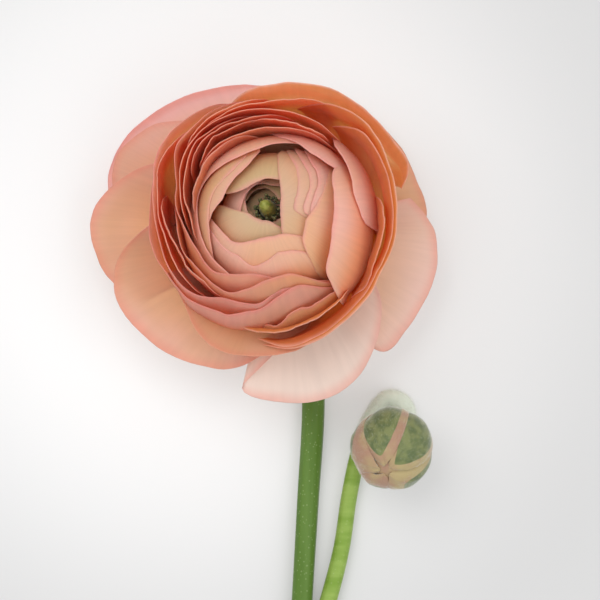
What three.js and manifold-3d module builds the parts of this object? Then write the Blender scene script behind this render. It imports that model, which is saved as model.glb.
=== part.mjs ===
// A cut ranunculus (Persian buttercup) stem, lying on a surface: an open bloom and a closed side bud.
// Units are millimetres and +Z is up. The origin is under the middle of the flower, on the surface.
// The stem lies along Y with the bloom at +Y. The bloom faces up, on a bent neck.
import * as THREE from 'three';
import { mergeVertices } from 'three/addons/utils/BufferGeometryUtils.js';
import Module from 'manifold-3d';

const wasm = await Module();
wasm.setup();

// ---- Driving dimensions -------------------------------------------------------------------------

const GAP = 0.3; // clearance left between two neighbouring pieces
const TURN = Math.PI / 180;

const BLOOM = {
  base: [5.2, 68.5, 18.5], // where the petals' receptacle meets the calyx
  axis: [-0.08, 0.1, 0.99], // the way the bloom faces
  waist: 17, // height of the petals' widest ring above the base
  radius: 33, // radius of the cup
  lean: [-2.3, 2.5], // how far the heart leans off the axis at the rim's height
};
const RECEPTACLE = [[0, -3], [4.6, -3], [6, 0], [5.2, 8], [4.6, 14], [0, 14]]; // radius, height
const COLLAR = { top: -3 - GAP, bottom: -4.4, radius: 4.4 }; // ring under the receptacle that bears the sepals
const PISTIL = [[0, 14.3], [2.3, 14.3], [2.9, 18], [2.8, 22], [2.2, 25], [1.4, 27.2], [0, 28.2]];
const STAMENS = { count: 16, foot: 14.3, tip: 26, radius: 4.0, ring: 0.55, wide: 0.7 };

const PETAL = { thick: 0.8, across: 6, along: 5 };
const SEPAL = { thick: 0.9, across: 4, along: 5, count: 5 };

// Centre line of the main stem as x, y, z and its radius there, from the neck to the cut end.
const STEM = [
  [5.58, 68.03, 13.8, 3.1],
  [5.8, 67.7, 10.8, 3.05],
  [7.2, 64.4, 6.3, 3.0],
  [9.4, 58.8, 3.8, 3.0],
  [11.3, 51.6, 3.06, 3.04],
  [12.6, 39.9, 3.05, 3.05],
  [13.0, 23.4, 3.03, 3.03],
  [11.6, -2.0, 2.93, 2.93],
  [10.1, -27.4, 2.84, 2.84],
  [8.8, -49.8, 2.9, 2.9],
  [7.1, -77.1, 2.84, 2.84],
  [5.5, -107.0, 2.8, 2.8],
];

// The branch, from inside the main stem round its crook to the foot of the bud.
const BRANCH = [
  [8.8, -52.5, 2.7, 2.0],
  [11.0, -46.5, 2.5, 2.2],
  [17.3, -27.4, 2.32, 2.3],
  [20.4, -15.0, 2.28, 2.25],
  [22.5, -1.0, 2.25, 2.2],
  [24.6, 9.0, 2.25, 2.2],
  [26.6, 15.5, 2.3, 2.25],
  [29.6, 21.0, 2.6, 2.4],
  [33.0, 24.2, 3.1, 2.6],
  [36.0, 23.2, 3.3, 2.7],
  [37.2, 20.6, 3.6, 2.8],
  [37.0, 18.3, 4.8, 2.8],
  [36.32, 16.62, 7.2, 2.8],
];

const BUD = {
  centre: [33.6, 11.4, 18],
  axis: [-0.22, -0.43, 0.875], // from the bud's foot to its tip
  petals: 8.9, // radius of the ball of petals
  sepals: 10.2, // radius of the middle of the sepals' shell
  tall: 1.04, // how much longer the bud is than it is wide
};

const COLOUR = {
  petal: 0xe9a988,
  stem: 0x5e8530,
  sepal: 0x6f8c42,
  pistil: 0x8a9040,
  stamen: 0x4a3a24,
  budPetal: 0xb9a36b,
  budSepal: 0x6b8257,
};

// ---- Small tools --------------------------------------------------------------------------------

const vec = (a) => new THREE.Vector3(...a);
const mix = (a, b, t) => a + (b - a) * t;

// A value that runs through start, middle and end as u goes from -1 to 1.
const bend = ([start, middle, end], u) => middle + (end - start) * u / 2 + ((start + end) / 2 - middle) * u * u;

// A frame that stands on a base point: x and y across, z along the axis.
function frameOn(base, axis) {
  const z = vec(axis).normalize();
  const x = new THREE.Vector3(1, 0, 0).addScaledVector(z, -z.x).normalize();
  const y = new THREE.Vector3().crossVectors(z, x);
  return new THREE.Matrix4().makeBasis(x, y, z).setPosition(...base);
}

const bloomFrame = frameOn(BLOOM.base, BLOOM.axis);
const budFrame = frameOn(BUD.centre, BUD.axis);

function meshGeometry(points, triangles) {
  const geometry = new THREE.BufferGeometry();
  geometry.setAttribute('position', new THREE.Float32BufferAttribute(points.flatMap((p) => [p.x, p.y, p.z]), 3));
  geometry.setIndex(triangles.flat());
  return geometry;
}

// A closed geometry as a manifold-3d solid.
function solid(geometry) {
  const bare = geometry.clone();
  bare.deleteAttribute('normal');
  bare.deleteAttribute('uv');
  const merged = mergeVertices(bare, 1e-5);
  return new wasm.Manifold(new wasm.Mesh({
    numProp: 3,
    vertProperties: merged.attributes.position.array,
    triVerts: new Uint32Array(merged.index.array),
  }));
}

function fromSolid(manifold) {
  const mesh = manifold.getMesh();
  const geometry = new THREE.BufferGeometry();
  geometry.setAttribute('position', new THREE.BufferAttribute(mesh.vertProperties, 3));
  geometry.setIndex(new THREE.BufferAttribute(mesh.triVerts, 1));
  return geometry;
}

// Joins geometries into one body. A hollow that joining seals is filled.
function fuse(geometries) {
  const whole = geometries.map(solid).reduce((sum, next) => sum.add(next));
  return whole.decompose().reduce((largest, next) => (next.volume() > largest.volume() ? next : largest));
}

// A thin blade of even thickness on a surface point(u, v), u from -1 to 1 across and v from 0 to 1 along.
// Both faces are cut into triangles along the same diagonals.
function bladeGeometry(point, { thick, across, along }) {
  const step = 1e-3;
  const upper = [];
  const lower = [];
  for (let j = 0; j <= along; j += 1) {
    for (let i = 0; i <= across; i += 1) {
      const u = mix(-1, 1, i / across);
      const v = j / along;
      const du = point(u + step, v).sub(point(u - step, v));
      const dv = point(u, v + step).sub(point(u, v - step));
      const normal = du.cross(dv).normalize();
      const middle = point(u, v);
      upper.push(middle.clone().addScaledVector(normal, thick / 2));
      lower.push(middle.clone().addScaledVector(normal, -thick / 2));
    }
  }
  const row = across + 1;
  const count = upper.length;
  const triangles = [];
  for (let j = 0; j < along; j += 1) {
    for (let i = 0; i < across; i += 1) {
      const [a, b, c, d] = [j * row + i, j * row + i + 1, (j + 1) * row + i + 1, (j + 1) * row + i];
      triangles.push([a, b, c], [a, c, d]);
      triangles.push([a + count, c + count, b + count], [a + count, d + count, c + count]);
    }
  }
  const rim = [];
  for (let i = 0; i < across; i += 1) rim.push(i);
  for (let j = 0; j < along; j += 1) rim.push(j * row + across);
  for (let i = across; i > 0; i -= 1) rim.push(along * row + i);
  for (let j = along; j > 0; j -= 1) rim.push(j * row);
  rim.forEach((a, k) => {
    const b = rim[(k + 1) % rim.length];
    triangles.push([a + count, b + count, b], [a + count, b, a]);
  });
  return meshGeometry([...upper, ...lower], triangles);
}

// A round rod along a smooth line through rows of x, y, z, radius, closed at both ends.
function rodGeometry(rows, sides, steps) {
  const line = new THREE.CatmullRomCurve3(rows.map(([x, y, z]) => new THREE.Vector3(x, y, z)), false, 'centripetal');
  const points = [];
  let side = new THREE.Vector3(1, 0, 0);
  for (let k = 0; k <= steps; k += 1) {
    const t = k / steps;
    const centre = line.getPoint(t);
    const along = line.getTangent(t);
    side = side.addScaledVector(along, -side.dot(along)).normalize();
    const up = new THREE.Vector3().crossVectors(along, side);
    const place = t * (rows.length - 1);
    const first = Math.min(Math.floor(place), rows.length - 2);
    const radius = mix(rows[first][3], rows[first + 1][3], place - first);
    for (let i = 0; i < sides; i += 1) {
      const angle = 2 * Math.PI * i / sides;
      points.push(centre.clone().addScaledVector(side, radius * Math.cos(angle))
        .addScaledVector(up, radius * Math.sin(angle)));
    }
  }
  const triangles = [];
  for (let k = 0; k < steps; k += 1) {
    for (let i = 0; i < sides; i += 1) {
      const [a, b] = [k * sides + i, k * sides + (i + 1) % sides];
      triangles.push([a, b, b + sides], [a, b + sides, a + sides]);
    }
  }
  for (let i = 1; i < sides - 1; i += 1) {
    triangles.push([0, i + 1, i], [steps * sides, steps * sides + i, steps * sides + i + 1]);
  }
  return meshGeometry(points, triangles);
}

// A turned solid whose profile of radius, height starts and ends on the axis, standing in a frame.
function turned(profile, sides, frame) {
  const geometry = new THREE.LatheGeometry(profile.map(([r, h]) => new THREE.Vector2(r, h)), sides);
  geometry.rotateX(Math.PI / 2);
  geometry.applyMatrix4(frame);
  return geometry;
}

function named(name, geometry, colour, roughness) {
  geometry.computeVertexNormals();
  const mesh = new THREE.Mesh(geometry, new THREE.MeshStandardMaterial({ color: colour, roughness, metalness: 0 }));
  mesh.name = name;
  return mesh;
}

// ---- Bloom --------------------------------------------------------------------------------------

// Petals of the heart curl in over the middle. Each row: direction in degrees, half width in degrees,
// radius of its shell, then how far its edge stays from the axis at its start, middle and end.
const HEART = [
  [235, 80, 8.6, 5.0, 3.6, 5.0],
  [100, 75, 9.7, 6.0, 4.0, 5.5],
  [0, 68, 10.8, 6.5, 2.6, 6.0],
  [160, 66, 12.0, 9.0, 8.0, 9.5],
  [285, 60, 13.1, 8.5, 5.6, 10.5],
  [55, 55, 14.2, 10.5, 10.5, 13.0],
  [340, 50, 15.3, 12.5, 9.6, 11.5],
  [150, 62, 16.4, 14.5, 13.5, 14.6],
  [268, 56, 17.5, 16.6, 14.2, 16.4],
  [125, 62, 18.6, 17.6, 16.8, 17.4],
  [250, 56, 19.7, 19.0, 16.9, 16.5],
  [20, 54, 20.7, 19.4, 17.4, 19.0],
  [195, 66, 21.7, 20.9, 20.0, 20.6],
  [340, 52, 22.7, 22.0, 16.8, 20.0],
  [85, 56, 23.7, 22.8, 21.0, 22.6],
];

// Petals of the cup stand up round the heart: direction, half width, shell radius, edge radius, edge height.
const CUP = [
  [210, 64, 24.8, 24.0, 29.5],
  [35, 40, 25.8, 24.2, 31.0],
  [135, 60, 26.0, 25.4, 30.5],
  [262, 58, 27.0, 26.4, 29.0],
  [175, 60, 28.2, 28.0, 31.5],
  [330, 52, 29.2, 28.8, 29.5],
  [80, 62, 29.6, 29.6, 33.0],
  [225, 64, 30.6, 30.6, 30.5],
  [10, 60, 31.4, 31.4, 31.5],
  [145, 64, 32.0, 32.2, 32.5],
  [290, 52, 32.4, 33.2, 28.0],
  [60, 62, 33.2, 33.6, 32.0],
];

// Outer petals spread behind the cup. Each row: direction, half width, reach at the start, middle and
// end of its edge, height of its edge above the base, and how far its sides lift.
const SPREAD = [
  [250, 35, 30.0, 37.0, 33.5, 22.0, 3.0],
  [222, 46, 35.0, 45.0, 33.0, 11.0, 3.5],
  [292, 42, 43.3, 46.0, 31.0, 6.0, 3.0],
  [181, 42, 39.4, 49.8, 42.0, 4.0, 3.5],
  [341, 54, 41.0, 40.5, 35.7, -1.0, 3.5],
  [151, 36, 40.0, 46.5, 45.4, -4.5, 3.0],
  [58, 42, 34.0, 39.0, 40.5, -13.0, 3.0],
  [131, 38, 40.0, 46.0, 49.4, -13.6, 3.0],
];

const ROOT = { radius: 4.0, width: 0.3 };

// Shell of a closing petal: radius and height run along an oval that is widest at the waist.
function heartPoint([direction, half, radius, ...edge], u, v) {
  const bottom = BLOOM.waist * radius / BLOOM.radius;
  const top = 12 + 0.72 * (radius - 8.6);
  const reach = Math.min(bend(edge, u), 0.995 * radius);
  const start = Math.asin(ROOT.radius / radius);
  const end = Math.PI - Math.asin(reach / radius) - 0.5 * u ** 6;
  const angle = mix(start, end, v);
  const height = BLOOM.waist - (angle < Math.PI / 2 ? bottom : top) * Math.cos(angle);
  return onBloom(direction, half, u, v, (radius + 0.4 * u) * Math.sin(angle), height);
}

// Shell of a standing petal: an oval up to the waist, then a wall that reaches its edge radius.
function cupPoint([direction, half, radius, edge, edgeHeight], u, v) {
  const start = Math.asin(ROOT.radius / radius);
  const bottom = BLOOM.waist * radius / BLOOM.radius;
  const rise = Math.max(0, 2 * v - 1);
  const angle = mix(start, Math.PI / 2, Math.min(1, 2 * v));
  const wall = (edgeHeight - 7 * u ** 6 - BLOOM.waist) * rise;
  const round = radius * Math.sin(angle) + (edge - radius) * rise * rise;
  const height = BLOOM.waist - bottom * Math.cos(angle) + wall;
  return onBloom(direction, half, u, v, round + 0.4 * u, height);
}

// Shell of a spreading petal: a cubic curve from the receptacle out to its reach.
function spreadPoint([direction, half, from, middle, to, edgeHeight, lift], u, v) {
  const reach = bend([from, middle, to], u) * (1 - 0.16 * u ** 8);
  const level = (edgeHeight - 22) / 33; // 0 next to the cup and -1 for the lowest petal
  const along = [3.8, 0.42 * reach, 0.76 * reach, reach];
  const above = [-0.6 + 1.6 * level, 1.2 + 3.2 * level, mix(12, -1.2, -level), edgeHeight];
  const weight = [(1 - v) ** 3, 3 * v * (1 - v) ** 2, 3 * v * v * (1 - v), v ** 3];
  const sum = (values) => values.reduce((total, value, k) => total + value * weight[k], 0);
  return onBloom(direction, half, u, v, sum(along), sum(above) + lift * u * u * v * v);
}

// Places a point of a petal on the bloom. A petal is narrow at its root and full from half way up.
function onBloom(direction, half, u, v, radius, height) {
  const fullness = ROOT.width + (1 - ROOT.width) * Math.sin(Math.min(1, v / 0.55) * Math.PI / 2);
  const angle = (direction + half * fullness * u) * TURN;
  return leaned(new THREE.Vector3(radius * Math.cos(angle), radius * Math.sin(angle), height));
}

// Moves a point of the bloom from its own frame to the model. The heart leans more the higher it is.
function leaned(point) {
  const radius = Math.hypot(point.x, point.y);
  const share = Math.max(0, 1 - radius / BLOOM.radius) * Math.max(0, point.z / BLOOM.waist - 0.8);
  point.x += BLOOM.lean[0] * share;
  point.y += BLOOM.lean[1] * share;
  return point.applyMatrix4(bloomFrame);
}

// A petal that reaches the surface lies flat on it.
function resting(geometry) {
  const { position } = geometry.attributes;
  for (let k = 0; k < position.count; k += 1) position.setZ(k, Math.max(position.getZ(k), 0));
  return geometry;
}

function makeBloom() {
  const blades = [
    ...HEART.map((row) => bladeGeometry((u, v) => heartPoint(row, u, v), PETAL)),
    ...CUP.map((row) => bladeGeometry((u, v) => cupPoint(row, u, v), PETAL)),
    ...SPREAD.map((row) => bladeGeometry((u, v) => spreadPoint(row, u, v), PETAL)),
  ];
  const whole = fuse([turned(RECEPTACLE, 16, bloomFrame), ...blades]);
  return resting(fromSolid(whole));
}

// A turned solid in the bloom's middle, which leans as the heart does.
function leanedTurned(profile, sides) {
  const geometry = turned(profile, sides, new THREE.Matrix4());
  const { position } = geometry.attributes;
  for (let k = 0; k < position.count; k += 1) {
    const { x, y, z } = leaned(new THREE.Vector3().fromBufferAttribute(position, k));
    position.setXYZ(k, x, y, z);
  }
  return geometry;
}

// Each stamen is a slim rod that stands on a ring round the pistil and ends in a wider anther.
function makeStamens() {
  const { count, foot, tip, radius, ring, wide } = STAMENS;
  const hoop = [[radius - ring, foot], [radius + ring, foot], [radius + ring, foot + 1], [radius - ring, foot + 1]];
  const rods = Array.from({ length: count }, (_, k) => {
    const angle = 2 * Math.PI * (k + 0.5) / count;
    const rise = tip - (k % 3) * 0.8;
    const at = (r, h) => leaned(new THREE.Vector3(r * Math.cos(angle), r * Math.sin(angle), h)).toArray();
    return rodGeometry([
      [...at(radius, foot + 0.4), wide / 2],
      [...at(radius, mix(foot, rise, 0.7)), wide / 2],
      [...at(radius, mix(foot, rise, 0.8)), 0.8 * wide],
      [...at(radius, rise), 0.7 * wide],
    ], 4, 3);
  });
  return fromSolid(fuse([leanedTurned([...hoop, hoop[0]], 16), ...rods]));
}

// Five sepals fold down from a collar under the bloom.
function makeCalyx() {
  const { top, bottom, radius } = COLLAR;
  const middle = (top + bottom) / 2;
  const sepals = Array.from({ length: SEPAL.count }, (_, k) => bladeGeometry((u, v) => {
    const reach = mix(3, 17 - 2.5 * u ** 4, v);
    const width = 26 * (0.9 - 0.55 * v * v) * u;
    const angle = (20 + 72 * k + width) * TURN;
    const height = middle - 0.012 * (reach - 3) ** 2 + 0.5 * u * u * v;
    return new THREE.Vector3(reach * Math.cos(angle), reach * Math.sin(angle), height).applyMatrix4(bloomFrame);
  }, SEPAL));
  const collar = turned([[0, bottom], [radius, bottom], [radius, top], [0, top]], 16, bloomFrame);
  return fromSolid(fuse([collar, ...sepals]));
}

// ---- Bud ----------------------------------------------------------------------------------------

function makeBudPetals() {
  const rings = 10;
  const profile = Array.from({ length: rings + 1 }, (_, k) => {
    const angle = Math.PI * k / rings;
    return [k % rings ? BUD.petals * Math.sin(angle) : 0, -BUD.petals * BUD.tall * Math.cos(angle)];
  });
  return turned(profile, 16, budFrame);
}

// Five sepals wrap the bud from its foot. Each is widest at its middle and tapers to the bud's tip.
function makeBudSepals() {
  const sepals = Array.from({ length: SEPAL.count }, (_, k) => bladeGeometry((u, v) => {
    const climb = mix(11, 158 - 14 * u ** 4, v) * TURN;
    const angle = (30 + 72 * k + u * mix(38, 40 - 16 * v, v)) * TURN;
    const radius = BUD.sepals + 0.35 * u;
    return new THREE.Vector3(
      radius * Math.sin(climb) * Math.cos(angle),
      radius * Math.sin(climb) * Math.sin(angle),
      -radius * BUD.tall * Math.cos(climb),
    ).applyMatrix4(budFrame);
  }, { ...SEPAL, along: 7 }));
  const foot = -BUD.sepals * BUD.tall;
  const collar = turned([[0, foot - 1], [2.8, foot - 1], [3.0, foot + 0.6], [0, foot + 0.6]], 12, budFrame);
  return fromSolid(fuse([collar, ...sepals]));
}

// ---- Parts ------------------------------------------------------------------------------------

const model = new THREE.Group();
model.add(named('bloom', makeBloom(), COLOUR.petal, 0.6));
model.add(named('pistil', leanedTurned(PISTIL, 12), COLOUR.pistil, 0.5));
model.add(named('stamens', makeStamens(), COLOUR.stamen, 0.7));
model.add(named('calyx', makeCalyx(), COLOUR.sepal, 0.6));
model.add(named('bud_petals', makeBudPetals(), COLOUR.budPetal, 0.6));
model.add(named('bud_sepals', makeBudSepals(), COLOUR.budSepal, 0.6));
model.add(named('stem', fromSolid(fuse([rodGeometry(STEM, 12, 44), rodGeometry(BRANCH, 10, 40)])), COLOUR.stem, 0.55));

export default model;
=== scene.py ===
"""A cut ranunculus (Persian buttercup) stem, lying down: its visible surfaces, materials and stage.

The flower lies on z = 0 with its stem along Y. Rows of sizes are in millimetres, as the comments say,
and become metres where a mesh is made.
"""

import math

import bpy
import numpy as np
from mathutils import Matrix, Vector


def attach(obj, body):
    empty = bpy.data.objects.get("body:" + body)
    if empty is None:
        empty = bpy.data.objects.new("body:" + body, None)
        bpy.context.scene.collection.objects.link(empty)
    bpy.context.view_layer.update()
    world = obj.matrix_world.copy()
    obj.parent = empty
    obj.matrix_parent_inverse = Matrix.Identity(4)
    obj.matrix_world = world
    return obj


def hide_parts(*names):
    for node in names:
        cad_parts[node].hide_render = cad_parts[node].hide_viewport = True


bl_info = {
    "name": "Ranunculus Flower",
    "version": (1, 0, 0),
    "blender": (4, 5, 0),
    "location": "3D View > Sidebar > Ranunculus",
    "description": "Builds a cut ranunculus stem with an open bloom and a side bud",
    "category": "Add Mesh",
}

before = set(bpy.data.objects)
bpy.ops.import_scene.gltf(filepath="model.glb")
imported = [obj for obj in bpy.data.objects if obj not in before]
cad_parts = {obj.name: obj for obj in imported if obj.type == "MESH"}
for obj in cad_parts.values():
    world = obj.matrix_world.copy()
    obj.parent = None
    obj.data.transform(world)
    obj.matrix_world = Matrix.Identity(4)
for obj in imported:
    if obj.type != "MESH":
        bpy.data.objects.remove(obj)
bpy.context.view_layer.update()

MM = 0.001
TAU = 2 * math.pi

# ---- Driving dimensions, in millimetres and degrees ----------------------------------------------

BASE = (5.2, 68.5, 18.5)  # where the petals' receptacle meets the calyx
AXIS = (-0.08, 0.1, 0.99)  # the way the bloom faces
WAIST = 17.0  # height of the petals' widest ring above the base
CUP_RADIUS = 33.0
LEAN = (-2.3, 2.5)  # how far the heart leans off the axis at the rim's height
ROOT_RADIUS = 4.0
ROOT_WIDTH = 0.3  # a petal's width at its root, as a share of its whole angle
CROWN = 0.7  # power of the sine over the crown of a closing petal
CROWN_TOP = 20.8  # greatest height of a crown above the waist
ROLL = 0.4  # how far a closing petal's edge rolls in
LIP = 0.7  # how far an upright petal's edge leans in
WRAP_LIP = 0.2  # the same for a wrapping petal
EDGE_WIDTH = 1.5  # how far from its edge a petal rolls or leans in
OPEN = -1  # at or below this lean a cup petal opens wide and has no lip
PISTIL_SHIFT = (-1.1, 2.0, 0)  # how far the pistil stands off the axis
FLOOR_GAP = 0.05  # least height of a hair

STEM_FACES = (320, 44)  # along and around
BRANCH_FACES = (260, 36)
SEPAL_FACES = (36, 40)  # across and along
HEART_SEED, CUP_SEED, WRAP_SEED, SPREAD_SEED, SEPAL_SEED = 100, 300, 400, 500, 40  # of the first petal

# Petals of the heart curl in over the middle, from the inmost out. A row holds a tone from 0 for peach
# to 1 for pink, how green the petal is, the radius of its shell at either end of its edge, and points
# along the edge: direction and reach from the axis.
HEART = [
    (1.0, 0.7, 8.8, 8.8, ((56, 3), (75, 3.6), (95, 4.7), (115, 5.5), (135, 5.6), (155, 5), (180, 3.8),
        (205, 3))),
    (0.8, 0.85, 10.5, 10.5, ((62, 4), (74, 5), (86, 6.4), (104, 8.3), (120, 9.2), (135, 9.2),
        (152, 8))),
    (0.4, 1.0, 9.9, 9.9, ((150, 8.1), (167, 5.8), (187, 3.7), (215, 2.2), (270, 1.7), (330, 1.8),
        (380, 3))),
    (1.2, 0.4, 12.5, 12.5, ((63, 7.3), (88, 8.2), (105, 9.3), (120, 9.6), (136, 9.1), (151, 8.6),
        (167, 7.5), (183, 6.4))),
    (1.1, 0.6, 13.4, 13.4, ((136, 9.4), (148, 8), (162, 6.8), (178, 6), (196, 5.8), (212, 6.4),
        (225, 7.6))),
    (1.2, 0.1, 14.4, 14.4, ((85, 11.6), (98, 10.2), (122, 8.6), (144, 8.3), (162, 7.9), (190, 7.8),
        (202, 9.4), (209, 11.4))),
    (0.6, 0.55, 16.8, 16.8, ((168, 12), (174, 9.6), (180, 7.2), (190, 5), (212, 3.6), (244, 3),
        (284, 3.1), (318, 4.2))),
    (0.4, 0.55, 17.8, 17.8, ((35, 12), (65, 9), (100, 8.4), (130, 8), (155, 10))),
    (0.5, 0.3, 18.3, 18.3, ((-65, 9.2), (-50, 6.1), (-25, 4.4), (10, 4.1), (45, 5.4), (70, 9),
        (85, 14))),
    (0.6, 0.15, 18.8, 18.8, ((-10, 6.5), (25, 8.5), (50, 12), (80, 17))),
    (0.5, 0, 19.1, 19.1, ((180, 15), (205, 13), (225, 11.5), (245, 9), (268, 7.4), (295, 7.5),
        (315, 9), (330, 12))),
    (0.8, 0, 19.4, 19.4, ((-10, 9), (15, 10.5), (45, 14.5), (75, 18))),
    (0.7, 0, 19.7, 19.7, ((185, 16), (215, 15), (235, 14), (253, 14.6), (270, 12.5), (285, 11.5),
        (305, 12.5), (320, 15))),
    (1.0, 0, 20.1, 20.1, ((-10, 10.5), (15, 12.5), (40, 16), (68, 19))),
    (0.3, 0, 20.4, 20.4, ((-52, 17), (-42, 12.5), (-25, 11), (-8, 11.2), (16, 14), (33, 17),
        (47, 19.5))),
    (0.6, 0.1, 20.5, 20.5, ((100, 15), (125, 12.4), (155, 12), (170, 13), (180, 15), (195, 17))),
    (0.2, 0.2, 21, 21, ((108, 17), (120, 15.3), (135, 14.6), (150, 15), (175, 16), (200, 17),
        (222, 19))),
    (0.7, 0, 22.3, 22.3, ((60, 21), (85, 19), (102, 17.3), (118, 16.8), (135, 18.3), (150, 20),
        (166, 20.2), (185, 19.3), (220, 19.2), (240, 19), (262, 20))),
    (1.0, 0, 23.4, 22.8, ((22, 22.5), (44, 19.9), (60, 19.4), (76, 20.6), (95, 22.2))),
    (0.8, 0, 27.6, 22.8, ((-52, 26.5), (-49, 23.5), (-45, 20.8), (-30, 18.7), (-15, 17.5), (0, 17.1),
        (16, 17.8), (30, 18.8), (43, 21))),
    (0.9, 0, 26.4, 26.2, ((-6, 25.2), (-2, 23.7), (12, 22.6), (34, 23.5), (46, 24.3), (57, 25.9))),
]

# Petals of the cup stand up round the heart. A row holds its tone, its lean, and points along the edge:
# direction, radius and height. The lean is how much wider the waist is than the edge: below 0, because
# these petals open outward.
CUP = [
    (0.8, -1.0, ((98, 22.4, 28), (118, 22.4, 29.5), (136, 22.2, 30), (152, 21.5, 30),
        (168, 20.8, 29.5), (184, 20, 28))),
    (0.9, -0.6, ((50, 24.6, 28), (80, 23.6, 30), (101, 23.4, 30), (119, 23.3, 31), (133, 23.8, 30),
        (152, 22.6, 28))),
    (1.0, -0.8, ((56, 25.4, 29), (66, 25, 31), (76, 25.1, 31), (90, 25.6, 31), (108, 26, 29))),
    (0.7, -0.8, ((85, 26.2, 29), (118, 25.8, 30.5), (128, 26, 31), (137, 24.6, 30), (148, 23.3, 28))),
    (0.9, -0.8, ((76, 27, 30), (105, 26.7, 31), (119, 27.2, 31), (128, 27.2, 31.5), (141, 26.4, 31),
        (156, 23.8, 29))),
    (0.8, -0.7, ((95, 28, 31), (123, 28, 31.5), (135, 28.2, 32), (146, 26.8, 31.5), (162, 24.4, 31),
        (171, 23.2, 31), (180, 21.6, 30.5), (192, 20.9, 30), (206, 21, 28))),
    (0.6, -0.7, ((50, 27, 28), (63, 27.2, 31), (75, 27.8, 31), (92, 28.6, 31), (112, 29.2, 31.5),
        (128, 29.5, 32), (140, 29, 32), (150, 27.9, 31.5), (160, 26, 31), (172, 24.2, 31),
        (183, 22.7, 30.5), (196, 21.9, 28))),
    (0.5, -0.9, ((60, 33, 30), (72, 32.4, 32), (82, 31.3, 32), (90, 30.6, 32), (100, 30.3, 32),
        (113, 30.2, 32), (124, 30, 31.5), (134, 29.7, 29))),
    (0.9, -0.9, ((90, 31.6, 30), (104, 31.4, 32), (116, 31.2, 32.5), (128, 30.8, 32.5), (136, 30, 32),
        (144, 28.9, 30))),
    (0.8, -0.4, ((166, 30, 29), (172, 29.6, 30), (178, 29.1, 30.5), (184, 28.4, 30.5),
        (190, 27.5, 30.5), (197, 26.6, 30.5), (205, 26.2, 30.5), (212, 26, 30.5), (221, 25.3, 30),
        (231, 25, 29), (245, 24.3, 28))),
    (0.9, -0.9, ((128, 32.4, 26), (135, 32.8, 29), (142, 33.2, 30.5), (148, 33.6, 30.5),
        (155, 33.6, 30.5), (162, 32.5, 30.5), (170, 31, 30.5), (178, 30.3, 30.5), (186, 29.5, 30.5),
        (196, 28.9, 30.5), (206, 28.6, 30.5), (214, 28.3, 30), (222, 28, 29.5), (232, 27, 29))),
    # The next four petals stand on the right, whose walls lie in shade: as painted shade they have a
    # tone below 0, so their deep colour is the darker root colour.
    (-0.5, -2.5, ((-46, 30, 24), (-32, 29.3, 26), (-21, 28.5, 28.5), (-7, 29, 30), (1, 28.8, 30),
        (14, 28.8, 29))),
    (-0.5, -2.6, ((-100, 33, 20), (-91, 33.2, 20), (-82, 32.8, 20), (-70, 31.8, 20.5), (-57, 30.8, 22),
        (-44, 30.4, 24.5), (-33, 30.2, 26.5), (-27, 30.2, 28), (-20, 30.7, 29), (-12, 31.1, 30),
        (-3, 31, 30), (10, 30.9, 30), (24, 31.5, 31), (36, 32, 31.5), (44, 32, 31.5), (50, 31.8, 31),
        (60, 31.2, 30))),
    (-0.3, -2.4, ((-97, 34.2, 19), (-89, 34, 19.5), (-80, 33.7, 20), (-70, 33.1, 21), (-58, 32, 22.5),
        (-47, 31.7, 25), (-37, 31.4, 26.5), (-30, 31, 28), (-24, 31.2, 28.5), (-12, 31.9, 30),
        (-4, 32, 31), (3, 32.1, 31), (13, 32.3, 31), (22, 32.7, 31.5), (29, 33.1, 31.5),
        (34, 33.7, 32), (40, 34, 32), (46, 34, 32), (54, 33.8, 32), (62, 33.5, 32), (70, 33.2, 31.5),
        (80, 32.4, 30.5))),
    (-0.3, -1.5, ((-112, 29.6, 21), (-98, 29.4, 23), (-84, 29, 24), (-70, 28.2, 25), (-56, 27.6, 26),
        (-42, 27.2, 26))),
    (0.4, -3, ((15, 36.2, 21), (19, 37.3, 23.5), (24, 37.7, 25.5), (31, 36.9, 27), (38, 36.5, 28.5),
        (47, 36.5, 30), (54, 36.6, 31), (63, 36.6, 32), (77, 35.4, 33), (84, 35, 33), (92, 34.3, 33),
        (97, 34, 32.5), (103, 33.9, 30), (110, 34, 27), (118, 34.2, 24))),
]

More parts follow.
